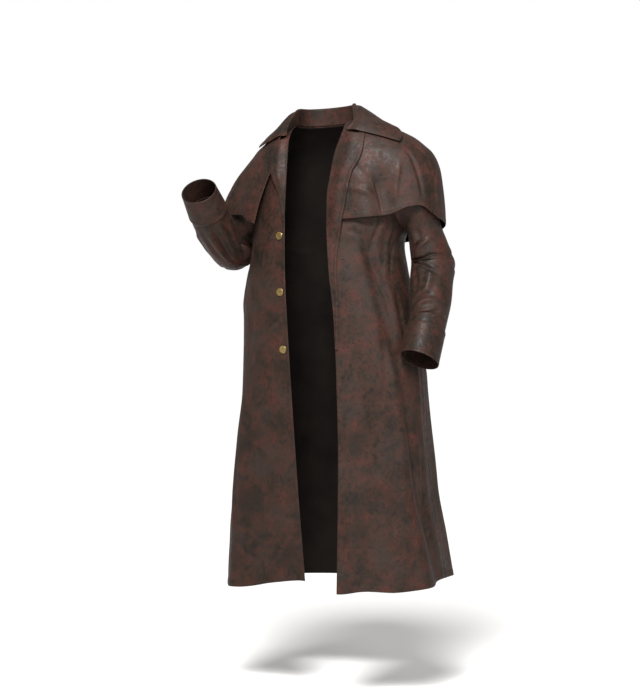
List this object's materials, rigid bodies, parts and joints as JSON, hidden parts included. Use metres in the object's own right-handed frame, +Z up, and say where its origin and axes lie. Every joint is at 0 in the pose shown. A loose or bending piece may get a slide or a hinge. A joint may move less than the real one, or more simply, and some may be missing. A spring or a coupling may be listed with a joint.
{
  "type": "long riding coat",
  "caption": "Long open riding coat with a shoulder cape, wide pointed collar, deep cuffs and brass snap caps, hollow, in a worn pose.",
  "frame": {"origin": "base of the neck, midway between the shoulders, where a person's shoulders carry the coat", "axes": "+Z up, the front faces -Y, the coat's own left is +X"},
  "size_m": [0.6786, 0.4909, 1.3079],
  "materials": {
    "mottled_cloth": "mottled dark brown faux suede, soft sheen",
    "snap_brass": "aged satin brass"
  },
  "bodies": {
    "root": {"back_skirt": "mottled_cloth", "back_waist": "mottled_cloth", "back_shoulder": "mottled_cloth", "front_left_skirt": "mottled_cloth", "front_left_waist": "mottled_cloth", "front_left_shoulder": "mottled_cloth", "front_right_skirt": "mottled_cloth", "front_right_waist": "mottled_cloth", "front_right_shoulder": "mottled_cloth", "lapel_left": "mottled_cloth", "collar_left": "mottled_cloth", "cape_front_left": "mottled_cloth", "cuff_left": "mottled_cloth", "lapel_right": "mottled_cloth", "collar_right": "mottled_cloth", "cape_front_right": "mottled_cloth", "cuff_right": "mottled_cloth", "cape_back": "mottled_cloth", "sleeve_left_upper": "mottled_cloth", "sleeve_left_lower": "mottled_cloth", "sleeve_right_upper": "mottled_cloth", "sleeve_right_lower": "mottled_cloth", "button_1": "snap_brass", "button_2": "snap_brass", "button_3": "snap_brass"}
  },
  "joints": []
}
